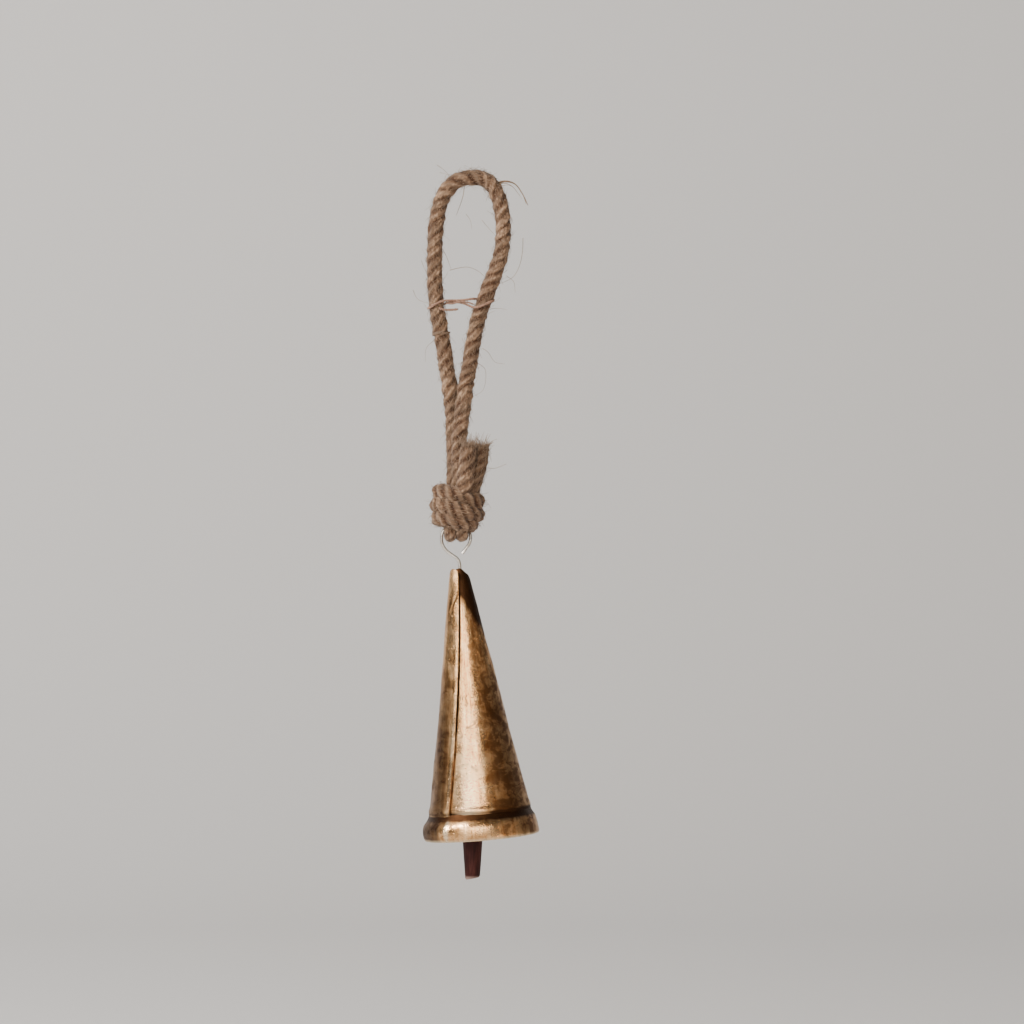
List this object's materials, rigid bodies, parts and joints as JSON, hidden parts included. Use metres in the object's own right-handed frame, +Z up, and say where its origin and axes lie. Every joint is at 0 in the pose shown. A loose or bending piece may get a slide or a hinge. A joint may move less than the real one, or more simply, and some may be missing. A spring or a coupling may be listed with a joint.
{
  "type": "hanging bell",
  "caption": "Cone bell of rolled, brazed sheet with a banded mouth and a wood clapper, hung from a wire eye on a knotted jute rope loop.",
  "frame": {"origin": "the inside top of the rope loop, where it rests on its nail or hook", "axes": "+Z up, -Y out from the wall towards the viewer, +X to the viewer's right"},
  "size_m": [0.0417, 0.0416, 0.2552],
  "materials": {
    "jute": "hairy laid jute",
    "tie_jute": "single jute yarn, reddish",
    "steel_wire": "dull drawn wire",
    "brazed_sheet": "mottled brass brazing over beaten sheet",
    "turned_wood": "dark stained, oiled"
  },
  "bodies": {
    "loop": {"rope_loop": "jute", "tie_yarn": "tie_jute"},
    "knot": {"rope_knot": "jute"},
    "hanger": {"hanger_wire": "steel_wire"},
    "shell": {"bell_shell": "brazed_sheet", "rim_band": "brazed_sheet"},
    "link": {"clapper_link": "steel_wire"},
    "striker": {"clapper": "turned_wood"}
  },
  "joints": [
    {"name": "rope_bend", "type": "hinge", "parent": "loop", "child": "knot", "pos_m": [-0.0055, 0, -0.0717], "axis": [0, 1, 0], "range_deg": [-15, 15]},
    {"name": "bell_swing", "type": "hinge", "parent": "knot", "child": "hanger", "pos_m": [-0.0061, 0, -0.1227], "axis": [1, 0, 0], "range_deg": [-50, 15]},
    {"name": "shell_turn", "type": "hinge", "parent": "hanger", "child": "shell", "pos_m": [-0.0047, 0, -0.1381], "axis": [0.0819, 0, -0.9966], "continuous": true},
    {"name": "link_swing", "type": "hinge", "parent": "hanger", "child": "link", "pos_m": [-0.00016, 0, -0.19331], "axis": [1, 0, 0], "range_deg": [-8, 8]},
    {"name": "clapper_swing", "type": "hinge", "parent": "link", "child": "striker", "pos_m": [-0.00016, 0, -0.19901], "axis": [0, 1, 0], "range_deg": [-26.5, 15.5]}
  ]
}
